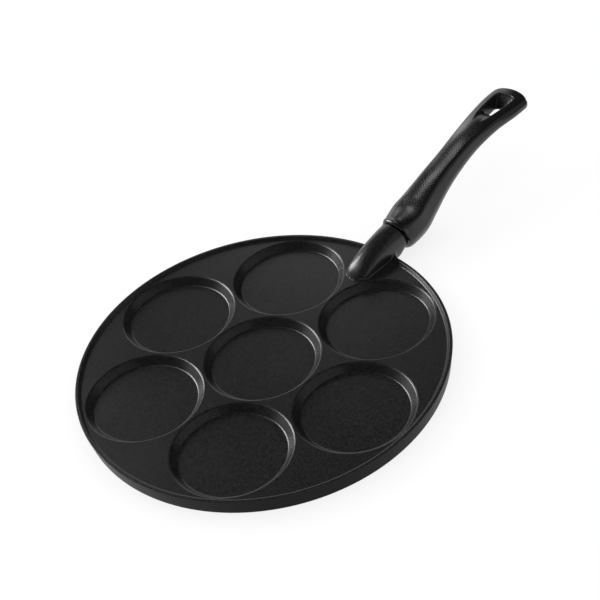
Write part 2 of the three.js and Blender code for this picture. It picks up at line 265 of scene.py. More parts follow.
def ringed_mesh(name: str, rings: Sequence[Sequence[Vector]]) -> Mesh:
    """Join rings of points into a closed mesh with flat end caps.

    Args:
        name: Name of the mesh.
        rings: Rings with the same number of points, in metres, that turn right seen along the row.

    Returns:
        The mesh.
    """
    work = bmesh.new()
    rows = [[work.verts.new(point) for point in ring] for ring in rings]
    for low, high in zip(rows, rows[1:]):
        for k in range(len(low)):
            n = (k + 1) % len(low)
            work.faces.new((low[k], low[n], high[n], high[k]))
    work.faces.new(tuple(reversed(rows[0])))
    work.faces.new(tuple(rows[-1]))
    mesh = bpy.data.meshes.new(name)
    work.to_mesh(mesh)
    work.free()
    return mesh


def turned_mesh(name: str, profile: Sequence[Band], segments: int) -> Mesh:
    """Turn a profile about the Z axis.

    Args:
        name: Name of the mesh.
        profile: Radius and height in millimetres, from the lower cap to the upper one.
        segments: Facets round the axis.

    Returns:
        The closed mesh, in metres.
    """
    angles = [2.0 * math.pi * k / segments for k in range(segments)]
    rings = [
        [Vector((radius * math.cos(a), radius * math.sin(a), height)) * MM for a in angles]
        for radius, height in profile
    ]
    return ringed_mesh(name, rings)


class Cut(Enum):
    """How one solid is worked with another."""

    JOIN = "UNION"
    TAKE = "DIFFERENCE"


def worked_mesh(
    base: Mesh, tools: Sequence[tuple[Mesh, Vector]], how: Cut
) -> Mesh:
    """Join tool solids to a base solid, or take them away from it.

    Args:
        base: Mesh of the base solid.
        tools: Meshes of the tools and the places where they go, in metres.
        how: Whether the tools are joined or taken away.

    Returns:
        The mesh of the result, smooth.
    """
    scene = bpy.context.scene
    body = bpy.data.objects.new("bench_body", base)
    scene.collection.objects.link(body)
    helpers = [body]
    for mesh, place in tools:
        helper = bpy.data.objects.new("bench_tool", mesh)
        helper.location = place
        scene.collection.objects.link(helper)
        step = body.modifiers.new("work", "BOOLEAN")
        step.object = helper
        step.operation = how.value
        step.solver = "EXACT"
        helpers.append(helper)
    bpy.context.view_layer.update()
    graph = bpy.context.evaluated_depsgraph_get()
    result = bpy.data.meshes.new_from_object(body.evaluated_get(graph))
    for helper in helpers:
        bpy.data.objects.remove(helper)
    result.shade_smooth()
    return result


def place_piece(
    name: str, mesh: Mesh, node: str, slot: str, *finishes: Material
) -> Object:
    """Put a mesh in the scene as a piece of the pan and dress it.

    Args:
        name: Name of the piece.
        mesh: Its mesh, in the part's frame.
        node: Node of the model that it stands for.
        slot: Name of the record's material slot; not used.
        finishes: Its materials.

    Returns:
        The piece.
    """
    mesh.materials.clear()
    for finish in finishes:
        mesh.materials.append(finish)
    piece = bpy.data.objects.new(name, mesh)
    bpy.context.scene.collection.objects.link(piece)
    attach(piece, "root")
    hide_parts(node)
    return piece


def keep_flat(piece: Object) -> None:
    """Weight a piece's normals so that its flat faces stay flat beside rounds.

    Args:
        piece: The piece.
    """
    flat = piece.modifiers.new("flat_faces_stay_flat", "WEIGHTED_NORMAL")
    flat.weight = 100
    flat.keep_sharp = True


class Wire:
    """A shader value: sums written with it add Math nodes to its bench."""

    def __init__(self, bench: "NodeBench", socket: NodeSocket) -> None:
        """Wrap an output socket of a bench's node tree."""
        self.bench = bench
        self.socket = socket

    def _math(self, operation: str, *terms: "Wire | float") -> "Wire":
        """Add one Math node over the given terms."""
        return self.bench.node("ShaderNodeMath", {"operation": operation}, dict(enumerate(terms)))

    def __add__(self, other: "Wire | float") -> "Wire":
        """Sum with another value."""
        return self._math("ADD", self, other)

    def __radd__(self, other: float) -> "Wire":
        """Sum with a number on the left."""
        return self._math("ADD", other, self)

    def __sub__(self, other: "Wire | float") -> "Wire":
        """Difference to another value."""
        return self._math("SUBTRACT", self, other)

    def __rsub__(self, other: float) -> "Wire":
        """Difference of a number on the left and this value."""
        return self._math("SUBTRACT", other, self)

    def __mul__(self, other: "Wire | float") -> "Wire":
        """Product with another value."""
        return self._math("MULTIPLY", self, other)

    def __rmul__(self, other: float) -> "Wire":
        """Product with a number on the left."""
        return self._math("MULTIPLY", other, self)

    def sine(self) -> "Wire":
        """Sine of this value in radians."""
        return self._math("SINE", self)

    def most(self, other: "Wire | float") -> "Wire":
        """The larger of this value and another."""
        return self._math("MAXIMUM", self, other)

    def eased(self, low: float, high: float) -> "Wire":
        """Ease this value from 0 at low to 1 at high."""
        values = {"Value": self, "From Min": low, "From Max": high}
        return self.bench.node("ShaderNodeMapRange", {"interpolation_type": "SMOOTHSTEP"}, values)


class NodeBench:
    """A node tree that starts with nothing but its output."""

    def __init__(self, tree: NodeTree, output: str) -> None:
        """Clear a tree and give it an output.

        Args:
            tree: The node tree.
            output: Type of the output node.
        """
        tree.nodes.clear()
        self.tree = tree
        self.output = tree.nodes.new(output)

    def node(
        self,
        kind: str,
        settings: dict[str, str] | None = None,
        values: dict | None = None,
        out: int | str = 0,
    ) -> Wire:
        """Add any node.

        Args:
            kind: Type of the node.
            settings: Its settings, set before the sockets.
            values: Numbers, colours or wires for its input sockets, by name or number.
            out: The output that is wanted.

        Returns:
            A wire from that output.
        """
        made = self.tree.nodes.new(kind)
        for key, value in (settings or {}).items():
            setattr(made, key, value)
        for key, value in (values or {}).items():
            if isinstance(value, Wire):
                self.tree.links.new(value.socket, made.inputs[key])
            else:
                made.inputs[key].default_value = value
        return Wire(self, made.outputs[out])

    def show(self, shader: Wire) -> None:
        """Lead a shader to the output."""
        self.tree.links.new(shader.socket, self.output.inputs["Surface"])

    def show_seen(self, light: Wire, seen: Wire, share: float = 1.0) -> None:
        """Show one shader as light, and another to the eye and in reflections.

        Args:
            light: Shader that other rays meet.
            seen: Shader that the eye and reflections meet.
            share: Share of the second shader there.
        """
        mask, *others = [self.node("ShaderNodeLightPath", out=ray) for ray in SEEN_RAYS]
        for other in others:
            mask = mask.most(other)
        self.show(self.node("ShaderNodeMixShader", values={0: mask * share, 1: light, 2: seen}))


class ShaderBench(NodeBench):
    """The node tree of one material."""

    def __init__(self, name: str) -> None:
        """Start a material.

        Args:
            name: Name of the material.
        """
        self.material = bpy.data.materials.new(name)
        self.material.use_nodes = True
        super().__init__(self.material.node_tree, "ShaderNodeOutputMaterial")

    def surface(self, values: dict) -> Wire:
        """Add the surface shader and show it.

        Args:
            values: Numbers, colours or wires by socket name.

        Returns:
            The shader.
        """
        shader = self.node("ShaderNodeBsdfPrincipled", values=values)
        self.show(shader)
        return shader

    def noise(self, scale: float, detail: float = 2.0, rough: float = 0.5) -> Wire:
        """Soft noise over the piece, between 0 and 1.

        Args:
            scale: Features per metre.
            detail: How many finer layers it has.
            rough: Weight of the finer layers.

        Returns:
            The noise.
        """
        place = self.node("ShaderNodeTexCoord", out="Object")
        values = {"Vector": place, "Scale": scale, "Detail": detail, "Roughness": rough}
        return self.node("ShaderNodeTexNoise", values=values)

    def attribute(self, name: str) -> Wire:
        """A number stored on the piece's points."""
        return self.node("ShaderNodeAttribute", {"attribute_name": name}, out="Fac")

    def blend(self, share: Wire, low: Triple, high: Triple) -> Wire:
        """Blend from one colour to another as a share goes from 0 to 1."""
        values = {0: share, 6: (*low, 1.0), 7: (*high, 1.0)}
        return self.node("ShaderNodeMix", {"data_type": "RGBA"}, values, out=2)

    def bump(self, height: Wire, depth: float, strength: float) -> Wire:
        """Turn a height, of which 1 stands for a depth in metres, into a surface normal."""
        values = {"Strength": strength, "Distance": depth, "Height": height}
        return self.node("ShaderNodeBump", values=values)


@dataclass(frozen=True)
class CoatFinish:
    """Satin black non-stick coat: a fine sprayed grain over slow changes of tone and gloss."""

    name: str = "non_stick_coat"
    dark: Triple = (0.002, 0.0021, 0.0022)
    light: Triple = (0.0125, 0.0126, 0.0129)
    rough_low: float = 0.25
    rough_high: float = 0.33
    specular: float = 0.5
    cloud_scale: float = 24.0
    cloud_share: float = 0.2
    grain: float = 640.0
    grain_band: Band = (0.34, 0.66)
    grain_depth: float = 0.00003
    grain_strength: float = 0.35
    peel_share: float = 0.4

    def material(self) -> Material:
        """Make the coat's material.

        Returns:
            The material.
        """
        bench = ShaderBench(self.name)
        cloud = bench.noise(self.cloud_scale, 3.0)
        spray = bench.noise(self.grain, 3.0, 0.6)
        peel = bench.noise(self.grain / 4.0, 1.0)
        tone = cloud * self.cloud_share + spray.eased(*self.grain_band) * (1.0 - self.cloud_share)
        rough = self.rough_low + (self.rough_high - self.rough_low) * (cloud * 0.5 + spray * 0.5)
        relief = spray * (1.0 - self.peel_share) + peel * self.peel_share
        bench.surface(
            {
                "Base Color": bench.blend(tone, self.dark, self.light),
                "Roughness": rough,
                "Normal": bench.bump(relief, self.grain_depth, self.grain_strength),
                "Specular IOR Level": self.specular,
            }
        )
        return bench.material


@dataclass(frozen=True)
class EnamelFinish(CoatFinish):
    """Heat-proof paint of the skirt and the underside: as dark as the coat, with less gloss."""

    name: str = "skirt_enamel"
    dark: Triple = (0.0034, 0.0035, 0.0036)
    light: Triple = (0.005, 0.005, 0.0052)
    rough_low: float = 0.32
    rough_high: float = 0.38
    specular: float = 0.05
    grain: float = 700.0


@dataclass(frozen=True)
class PhenolicFinish:
    """Moulded black phenolic: a matt skin, with fine crossed knurling on the top panel, whose peaks
    are painted lighter than its pits as painted highlight and shade.
    """

    name: str = "handle_phenolic"
    # dark is the handle's own black, kept in the knurl's pits; light is a painted highlight on the
    # knurl's peaks.
    dark: Triple = (0.004, 0.004, 0.0041)
    light: Triple = (0.018, 0.018, 0.0182)
    rough: float = 0.2
    skin_rough: float = 0.06
    cloud_rough: float = 0.02
    knurl_polish: float = 0.04
    specular: float = 0.5
    pitch: float = 0.0019
    knurl_shading_band: Band = (0.1, 0.6)
    knurl_depth: float = 0.00003
    knurl_strength: float = 0.8
    skin_scale: float = 1500.0
    skin_relief: float = 0.12
    cloud_scale: float = 30.0
    cloud_share: float = 0.1

    def material(self) -> Material:
        """Make the handle's material.

        Returns:
            The material.
        """
        bench = ShaderBench(self.name)
        turn = 2.0 * math.pi / (self.pitch / MM) / math.sqrt(2.0)
        along = bench.attribute("along") * turn
        across = bench.attribute("across") * turn
        first = (along + across).sine() * 0.5 + 0.5
        second = (along - across).sine() * 0.5 + 0.5
        knurl = first * second * bench.attribute("panel")
        skin = bench.noise(self.skin_scale)
        cloud = bench.noise(self.cloud_scale)
        # The knurl's peaks are painted lighter than its pits: painted highlight and shade on the
        # relief, which the bump also shades.
        tone = cloud * self.cloud_share + knurl.eased(*self.knurl_shading_band) * (1.0 - self.cloud_share)
        rough = self.rough + self.skin_rough * skin + self.cloud_rough * cloud
        relief = knurl + skin * self.skin_relief
        bench.surface(
            {
                "Base Color": bench.blend(tone, self.dark, self.light),
                "Roughness": rough - self.knurl_polish * knurl,
                "Normal": bench.bump(relief, self.knurl_depth, self.knurl_strength),
                "Specular IOR Level": self.specular,
            }
        )
        return bench.material


@dataclass(frozen=True)
class SteelFinish:
    """Plated steel of the small fasteners, with fine turning marks."""

    name: str
    colour: Triple
    rough: float
    worn: float = 0.7
    cloud_scale: float = 500.0
    mark_scale: float = 2500.0
    mark_rough: float = 0.12

    def material(self) -> Material:
        """Make the steel's material.

        Returns:
            The material.
        """
        bench = ShaderBench(self.name)
        worn = tuple(part * self.worn for part in self.colour)
        tone = bench.blend(bench.noise(self.cloud_scale, 3.0), worn, self.colour)
        rough = self.rough + self.mark_rough * bench.noise(self.mark_scale)
        bench.surface({"Base Color": tone, "Roughness": rough, "Metallic": 1.0})
        return bench.material


@dataclass
class Plate:
    """The cast plate: rim, drafted skirt, seven wells and their bosses underneath."""

    rim_radius: float = 133.95
    height: float = 10.7
    thickness: float = 3.7
    rim_height: float = 2.1
    rim_width: float = 2.2
    rim_slope: float = 1.9
    rim_round: float = 0.6
    rim_edge_round: float = 0.36
    rim_foot_round: float = 1.2
    skirt_draft: float = 2.1
    skirt_wall: float = 3.2
    skirt_round: float = 1.0
    skirt_inner_round: float = 0.8
    well_depth: float = 5.5
    well_draft: float = 40.0
    well_land: float = 1.5
    well_web: float = 2.6
    well_edge: float = 2.0
    well_floor_round: float = 2.0
    well_margin: float = 6.0
    boss_wall: float = 3.4
    boss_round: float = 1.2
    boss_sink: float = 0.75
    under_cap: float = 0.5
    top_cap_inset: float = 4.0
    boss_cap: float = 0.6
    coat_inset: float = 0.35
    skirt_facing: float = 0.3
    under_facing: float = -0.1
    rim_segments: int = 288
    rim_steps: int = 5
    well_segments: int = 144
    well_steps: int = 9
    boss_steps: int = 4

    @property
    def rim_foot(self) -> float:
        """Radius where the rim's inner slope meets the plate."""
        return self.rim_radius - self.rim_width - self.rim_slope

    @property
    def base_radius(self) -> float:
        """Radius of the skirt at the base plane."""
        return self.rim_radius - self.skirt_draft

    @property
    def mouth_radius(self) -> float:
        """Radius of a well where its wall would meet the plate."""
        return (self.rim_foot - self.well_land - self.well_web) / 3.0

    @property
    def pitch(self) -> float:
        """Distance from the middle well to each outer one."""
        return 2.0 * self.mouth_radius + self.well_web

    @property
    def floor(self) -> float:
        """Height of the wells' floors."""
        return self.height - self.well_depth

    @property
    def floor_radius(self) -> float:
        """Radius where a well's wall would meet its floor."""
        return self.mouth_radius - self.well_depth * math.tan(math.radians(self.well_draft))

    def well_places(self) -> list[Vector]:
        """Find the centres of the seven wells.

        Returns:
            The middle well's centre and then the outer ones, in metres.
        """
        places = [Vector((0.0, 0.0, 0.0))]
        for k in range(6):
            angle = math.radians(30.0 + 60.0 * k)
            places.append(Vector((math.cos(angle), math.sin(angle), 0.0)) * self.pitch * MM)
        return places

    def _shell(self) -> Mesh:
        """Turn the plate with its rim and skirt, hollow underneath.

        Returns:
            The mesh.
        """
        under = self.height - self.thickness
        inner = self.base_radius - self.skirt_wall
        top = self.height + self.rim_height
        corners = [
            Corner(inner * self.under_cap, under),
            Corner(inner, under, self.skirt_wall / 2.0),
            Corner(inner, 0.0, self.skirt_inner_round),
            Corner(self.base_radius, 0.0, self.skirt_round),
            Corner(self.rim_radius, top, self.rim_edge_round),
            Corner(self.rim_radius - self.rim_width, top, self.rim_round),
            Corner(self.rim_foot, self.height, self.rim_foot_round),
            Corner(self.rim_foot - self.top_cap_inset, self.height),
        ]
        profile = rounded_profile(corners, self.rim_steps)
        return turned_mesh("plate_shell", profile, self.rim_segments)

    def _well(self) -> Mesh:
        """Turn the shape that a well takes out of the plate.

        Returns:
            The mesh.
        """
        roll = self.well_edge * math.tan(math.radians(90.0 - self.well_draft) / 2.0)
        corners = [
            Corner(self.floor_radius - self.well_margin, self.floor),
            Corner(self.floor_radius, self.floor, self.well_floor_round),
            Corner(self.mouth_radius, self.height, self.well_edge),
            Corner(self.mouth_radius + 2.0 * roll, self.height),
        ]
        profile = rounded_profile(corners, self.well_steps)[:-2]
        profile.append((profile[-1][0], self.height + self.well_margin))
        return turned_mesh("well_cutter", profile, self.well_segments)

    def _boss(self) -> Mesh:
        """Turn the boss under a well, with an eased foot.

        Returns:
            The mesh.
        """
        slope = math.tan(math.radians(self.well_draft))
        wall = self.boss_wall / math.cos(math.radians(self.well_draft))
        foot = self.floor_radius - self.floor * slope + wall
        top = self.height - self.thickness * self.boss_sink
        corners = [
            Corner(foot * self.boss_cap, 0.0),
            Corner(foot, 0.0, self.boss_round),
            Corner(foot + top * slope, top),
        ]
        profile = rounded_profile(corners, self.boss_steps)
        return turned_mesh("well_boss", profile, self.well_segments)

    def build(self, coat: Material, enamel: Material) -> Object:
        """Build the plate and dress it.

        Args:
            coat: Finish of the cooking side.
            enamel: Finish of the skirt and the underside.

        Returns:
            The plate's piece.
        """
        places = self.well_places()
        mesh = self._shell()
        for tool, how in ((self._boss(), Cut.JOIN), (self._well(), Cut.TAKE)):
            mesh = worked_mesh(mesh, [(tool, place) for place in places], how)
        mesh.name = "pan_plate"
        piece = place_piece("pan_plate", mesh, "pan_casting", "coat", coat, enamel)
        edge = (self.rim_radius - self.coat_inset) * MM
        for face in mesh.polygons:
            rise = face.normal.z
            outer = math.hypot(face.center.x, face.center.y) > edge
            painted = rise < self.under_facing or (outer and rise < self.skirt_facing)
            face.material_index = int(painted)
        keep_flat(piece)
        return piece


@dataclass
class LoftedBody(ABC):
    """A body along the handle's direction, made as a signed form of run, across and up.

    Run is counted from the body's front end, across from the middle plane and up from its axis.
    """

    plate: Plate
    tilt: float = 10.0
    step: float = 0.42

    @property
    @abstractmethod
    def front(self) -> float:
        """Place of the front end along +X."""

    @property
    @abstractmethod
    def length(self) -> float:
        """Run of the rear end."""

    @abstractmethod
    def axis(self, run: Array) -> Array:
        """Height of the axis over the plate at a run."""

    @abstractmethod
    def lean(self, run: Array) -> Array:
        """Lean of the section at a run, in radians."""

    @abstractmethod
    def form(self, points: Array) -> Array:
        """Signed form at points of run, across and up, negative inside."""

    def world(self, points: Array) -> Array:
        """Turn points into the part's frame.

        Args:
            points: Points of run, across and up.

        Returns:
            The same points in the part's frame.
        """
        run, across, up = points.T
        lean = self.lean(run)
        x = self.front + run - up * np.sin(lean)
        z = self.plate.height + self.axis(run) + up * np.cos(lean)
        return np.stack([x, across, z], axis=1)

    def skin(self, name: str, low: Triple, high: Triple) -> tuple[Mesh, Array]:
        """Wrap the form in a smooth mesh.

        Args:
            name: Name of the mesh.
            low: Room before the front end, to the right and below.
            high: Room behind the rear end, to the left and above.

        Returns:
            The mesh in metres, and its points as run, across and up.
        """
        far = (self.length + high[0], high[1], high[2])
        points, quads = FormSkin(low, far, self.step).wrap(self.form)
        mesh = bpy.data.meshes.new(name)
        mesh.from_pydata((self.world(points) * MM).tolist(), [], quads.tolist())
        mesh.shade_smooth()
        return mesh, points


@dataclass
class Neck(LoftedBody):
    """The neck: a nose that rises out of the plate and runs over the rim to a round shoulder."""

    nose_inset: float = 36.0
    nose_half: float = 9.5
    nose_round: float = 8.0
    nose_rise: float = 7.0
    nose_lean: float = 3.0
    nose_square: float = 2.5
    root_square: float = 5.0
    round_square: float = 2.0
    skirt_share: float = 0.6
    reach: float = 14.7
    radius: float = 12.0
    axis_height: float = 6.2
    fairing: float = 30.7
    fairing_drop: float = 1.0
    crest_steps: int = 200
    least_run: float = 0.02
    least_rise: float = 0.05
    root_depth: float = 8.4
    sink: float = 2.0
    plate_fillet: float = 1.9
    skirt_fillet: float = 5.0
    fillet_band: Band = (131.0, 134.0)
    fillet_over: float = 0.2
    shoulder_round: float = 1.6
    seat_radius: float = 60.0
    seat_depth: float = 2.5
    seat_wall: float = 2.0
    seat_foot: float = 1.5
    seat_draft: float = 0.2
    seat_inset: float = 0.03
    room_low: Triple = (-4.0, -19.5, -18.0)
    room_high: Triple = (1.0, 19.5, 14.5)

    @property
    def front(self) -> float:
        """Place of the nose along +X."""
        return self.plate.rim_radius - self.nose_inset

    @property
    def length(self) -> float:
        """Run from the nose to the shoulder."""
        return self.nose_inset + self.reach

    @property
    def skirt_run(self) -> float:
        """Run from the nose to the skirt's foot."""
        return self.nose_inset - self.plate.skirt_draft

    def axis(self, run: Array) -> Array:
        """Height of the axis over the plate at a run."""
        return self.axis_height * np.clip(run / self.length, 0.0, 1.0)

    def lean(self, run: Array) -> Array:
        """Lean of the section at a run, in radians."""
        return math.radians(self.tilt) * soft_step(run, self.skirt_run, self.length)

    def _crest(self, run: Array) -> Array:
        """Height of the crest over the plate, on a curve with four knots.

        Args:
            run: Distance from the nose.

        Returns:
            Heights of the crest.
        """
        t = np.linspace(0.0, 1.0, self.crest_steps)
        top = self.axis_height + self.radius
        knots = (
            (0.0, 0.0),
            (self.nose_lean, self.nose_rise),
            (self.length - self.fairing, top - self.fairing_drop),
            (self.length, top),
        )
        weights = ((1 - t) ** 3, 3 * t * (1 - t) ** 2, 3 * t * t * (1 - t), t**3)
        x, z = (sum(w * knot[i] for w, knot in zip(weights, knots)) for i in (0, 1))
        return np.interp(run, x, z)

    def _seat(self) -> list[Band]:
        """Half section of the plate, a hair inside its faces, that the fillets run onto.

        Returns:
            Its corners as radius and height.
        """
        plate, inset = self.plate, self.seat_inset
        under = plate.height - self.seat_depth
        wall = plate.base_radius - self.seat_wall
        face = plate.height - inset
        top = plate.height + plate.rim_height - inset
        return [
            (self.seat_radius, under),
            (wall, under),
            (wall, self.seat_foot),
            (plate.base_radius + self.seat_draft - inset, self.seat_foot),
            (plate.rim_radius - inset, top),
            (plate.rim_radius - plate.rim_width + inset, top),
            (plate.rim_foot + inset, face),
            (self.seat_radius, face),
        ]

    def form(self, points: Array) -> Array:
        """Signed form of the neck with its fillets onto the plate and the skirt.

        Args:
            points: Points of run, across and up.

        Returns:
            Distance, negative inside.
        """
        run, across, up = points.T
        held = np.clip(run, self.least_run, self.length)
        share = held / self.length
        outside = soft_step(held, self.skirt_run - self.plate.skirt_wall, self.skirt_run)
        beyond = soft_step(held, self.skirt_run, self.length)
        axis = self.axis_height * share
        nose = 1.0 - np.clip(held / self.nose_round, 0.0, 1.0)
        half = self.nose_half + (self.radius - self.nose_half) * share
        half = half * np.sqrt(1.0 - nose * nose)
        root = self.sink + (self.root_depth - self.sink) * outside
        drop = axis + root + (self.radius - self.axis_height - root) * beyond
        rise = np.maximum(self._crest(held) - axis, self.least_rise)
        square = self.nose_square - (self.nose_square - self.round_square) * share
        rounder = np.maximum(beyond, outside * self.skirt_share)
        square_low = self.root_square - (self.root_square - self.round_square) * rounder
        above = oval_distance(np.abs(across), np.maximum(up, 0.0), half, rise, square)
        below = oval_distance(np.abs(across), np.maximum(-up, 0.0), half, drop, square_low)
        tube = np.maximum(np.where(up >= 0.0, above, below), -run)
        tube = soft_cut(tube, run - self.length, self.shoulder_round)
        x, y, z = self.world(points).T
        pan = polygon_distance(np.hypot(x, y), z, self._seat())
        wider = (self.skirt_fillet - self.plate_fillet) * soft_step(x, *self.fillet_band)
        fillet = self.plate_fillet + wider
        return np.maximum(soft_join(tube, pan, fillet), tube - fillet - self.fillet_over)

    def build(self, coat: Material) -> Object:
        """Build the neck and dress it with the casting's finish."""
        mesh, _ = self.skin("pan_neck", self.room_low, self.room_high)
        return place_piece("pan_neck", mesh, "pan_casting", "coat", coat)


@dataclass(frozen=True)
class GripSection:
    """One section of the handle.

    Reach runs from the lip, axis is the height over the plate, rise and drop are counted from the
    axis, square is the section's exponent, panel is half the width of the top panel, ridge the
    height of its edges and crown how far its middle stands over them.
    """

    reach: float
    axis: float
    half: float
    rise: float
    drop: float
    square: float
    panel: float
    ridge: float
    crown: float


@dataclass(frozen=True)
class SlotOutline:
    """Outline of the hang slot at one height, counted to the front and back of its widest place."""

    x: float
    front: float
    back: float
    half: float


@dataclass
class Handle(LoftedBody):
    """The moulded handle: collar, bulb, waisted grip with a knurled panel, and a slotted paddle."""

    lip_x: float = 149.0
    sections: tuple[GripSection, ...] = (
        GripSection(0.0, 6.2, 14.5, 13.9, 13.7, 2.0, 8.0, 10.8, 2.2),
        GripSection(7.0, 7.0, 15.7, 14.4, 15.0, 2.0, 10.4, 10.8, 2.4),
        GripSection(20.0, 9.9, 15.9, 13.6, 15.7, 2.1, 12.6, 10.4, 2.15),
        GripSection(31.0, 14.6, 14.6, 12.2, 14.2, 2.2, 10.9, 9.9, 2.1),
        GripSection(49.0, 22.8, 12.9, 10.3, 11.6, 2.3, 9.0, 8.6, 1.35),
        GripSection(69.0, 29.6, 11.6, 8.7, 9.8, 2.4, 8.4, 7.2, 0.9),
        GripSection(91.0, 35.9, 11.8, 7.4, 8.1, 2.8, 9.4, 5.9, 1.3),
        GripSection(115.0, 39.9, 14.0, 6.1, 6.5, 3.4, 11.9, 4.5, 1.85),
        GripSection(137.0, 40.9, 16.75, 5.5, 5.8, 4.2, 13.8, 4.2, 1.5),
        GripSection(156.9, 41.0, 16.45, 5.0, 5.2, 5.6, 13.6, 3.9, 1.2),
    )
    tail_bow: float = 1.7
    tail_bow_half: float = 10.0
    tail_corner: float = 3.4
    tail_draft: float = 0.8
    panel_front: float = 4.6
    panel_corner: float = 4.0
    ridge_round: float = 1.8
    wall_bulge: float = 1.15
    wall_over: float = 1.6
    bead_height: float = 0.6
    bead_width: float = 4.0
    bead_fade: float = 1.2
    bead_rise: Band = (0.35, 0.7)
    lip_round: float = 3.2
    slot_top: SlotOutline = SlotOutline(289.0, 38.0, 7.5, 8.1)
    slot_eye: SlotOutline = SlotOutline(282.5, 10.0, 6.6, 5.8)
    slot_front_square: float = 1.7
    slot_back_square: float = 3.4
    slot_sill: float = 1.2
    slot_over: float = 1.2
    slot_edge: float = 0.8
    slot_floor_round: float = 1.2
    slot_bow: float = 4.5
    slot_hollow: float = 2.0
    screw_reach: float = 16.0
    screw_bore: float = 5.1
    screw_seat: float = -1.6
    bore_round: float = 0.8
    knurl_edge: Band = (0.4, 1.6)
    knurl_up: Band = (1.0, 3.0)
    knurl_start: Band = (9.0, 13.0)
    knurl_end: Band = (96.0, 108.0)
    room_low: Triple = (-0.8, -17.5, -16.6)
    room_high: Triple = (0.8, 17.5, 15.0)

    @property
    def front(self) -> float:
        """Place of the lip along +X."""
        return self.lip_x

    @property
    def length(self) -> float:
        """Reach of the handle's tail."""
        return self.sections[-1].reach

    def _curve(self, reach: Array, name: str) -> Array:
        """One section value along the handle, on a smooth curve through the sections.

        Args:
            reach: Distance from the lip.
            name: Name of the value.

        Returns:
            The value at each reach.
        """
        x = np.array([section.reach for section in self.sections])
        y = np.array([getattr(section, name) for section in self.sections])
        chord = np.diff(y) / np.diff(x)
        slope = np.empty_like(y)
        slope[1:-1] = (y[2:] - y[:-2]) / (x[2:] - x[:-2])
        slope[0] = 1.5 * chord[0] - 0.5 * slope[1]
        slope[-1] = 1.5 * chord[-1] - 0.5 * slope[-2]
        held = np.clip(reach, x[0], x[-1])
        i = np.clip(np.searchsorted(x, held) - 1, 0, len(x) - 2)
        h = x[i + 1] - x[i]
        t = (held - x[i]) / h
        rest = 1.0 - t
        ends = y[i] * rest * rest * (1.0 + 2.0 * t) + y[i + 1] * t * t * (3.0 - 2.0 * t)
        return ends + h * t * rest * (slope[i] * rest - slope[i + 1] * t)

    def axis(self, run: Array) -> Array:
        """Height of the axis over the plate at a reach from the lip."""
        return self._curve(run, "axis")

    def lean(self, run: Array) -> Array:
        """Lean of the section, from the neck's tilt at the lip to the axis's own slope.

        Args:
            run: Reach from the lip.

        Returns:
            The lean in radians.
        """
        slope = self.axis(run + 0.5) - self.axis(run - 0.5)
        share = soft_step(run, 0.0, self.sections[2].reach)
        return math.radians(self.tilt) * (1.0 - share) + np.arctan(slope) * share

    def _slot(self, points: Array) -> Array:
        """Signed form of the hang slot, which narrows from a tapered mouth to a small eye.

        Args:
            points: Points in the part's frame.

        Returns:
            Distance, negative in the slot.
        """
        x, y, z = points.T
        paddle = self.sections[-2]
        low = self.plate.height + paddle.axis - paddle.drop + self.slot_sill
        deep = paddle.rise + paddle.drop - self.slot_sill
        share = np.clip((z - low) / deep, 0.0, self.slot_over)
        top, eye, bow = self.slot_top, self.slot_eye, self.slot_bow
        half = eye.half + (top.half - eye.half) * share
        ahead = x - top.x
        front, back = (
            oval_distance(np.abs(y), np.maximum(past, 0.0), half, size, square)
            for past, size, square in (
                (-ahead, top.front, self.slot_front_square),
                (ahead, top.back, self.slot_back_square),
            )
        )
        outline = np.where(ahead < 0.0, front, back)
        hollow = self.slot_hollow * np.clip(1.0 - share, 0.0, 1.0) * (y / half) ** 2
        tip = eye.x - eye.front
        rake = top.x - top.front - tip
        ramp = hollow + tip + rake * share**bow - x
        ramp = ramp / np.sqrt(1.0 + (bow * share ** (bow - 1.0) * rake / deep) ** 2)
        end = eye.x + eye.back
        draft = top.x + top.back - end
        wall = (hollow + x - end - draft * share) / math.hypot(1.0, draft / deep)
        return soft_cut(soft_cut(outline, ramp, self.slot_floor_round), wall, self.slot_floor_round)

    def _grip(self, reach: Array, across: Array, up: Array, end: Array) -> Array:
        """Upper half of the grip: a crowned top panel between two ridges, over drafted walls.

        Args:
            reach: Distance from the lip.
            across: Distance from the middle plane.
            up: Height from the axis.
            end: Distance past the tail's end, negative before it.

        Returns:
            Distance, negative inside.
        """
        half, panel, ridge, crown = (
            self._curve(reach, name) for name in ("half", "panel", "ridge", "crown")
        )
        top = ridge + crown * (1.0 - (across / panel) ** 2)
        level = np.clip(up / ridge, 0.0, self.wall_over)
        width = half - (half - panel) * level**self.wall_bulge
        slope = (half - panel) * self.wall_bulge * level ** (self.wall_bulge - 1.0) / ridge
        flank = (np.abs(across) - width) / np.sqrt(1.0 + slope**2)
        wall = soft_cut(flank, end + self.tail_draft * level, self.tail_corner)
        return soft_cut(wall, up - top, self.ridge_round)

    def form(self, points: Array) -> Array:
        """Signed form of the handle with its slot and screw bore.

        Args:
            points: Points of run, across and up.

        Returns:
            Distance, negative inside.
        """
        reach, across, up = points.T
        half, rise, drop, square = (
            self._curve(reach, name) for name in ("half", "rise", "drop", "square")
        )
        end = reach - self.length + self.tail_bow * (across / self.tail_bow_half) ** 2
        plan = soft_cut(np.abs(across) - half, end, self.tail_corner)
        above = self._grip(reach, across, up, end)
        below = oval_distance(
            np.maximum(plan + half, 0.0), np.maximum(-up, 0.0), half, drop, square
        )
        body = np.where(up >= 0.0, above, below)
        fade = self.bead_fade
        bead = 1.0 - soft_step(reach, self.bead_width - fade, self.bead_width + fade)
        body = body - self.bead_height * bead * soft_step(up / rise, *self.bead_rise)
        body = soft_cut(body, -reach, self.lip_round)
        place = self.world(points)
        body = soft_cut(body, -self._slot(place), self.slot_edge)
        x, y, z = place.T
        bore = np.hypot(x - self.lip_x - self.screw_reach, y) - self.screw_bore
        bore = np.maximum(bore, z - self.plate.height - self.screw_seat)
        return soft_cut(body, -bore, self.bore_round)

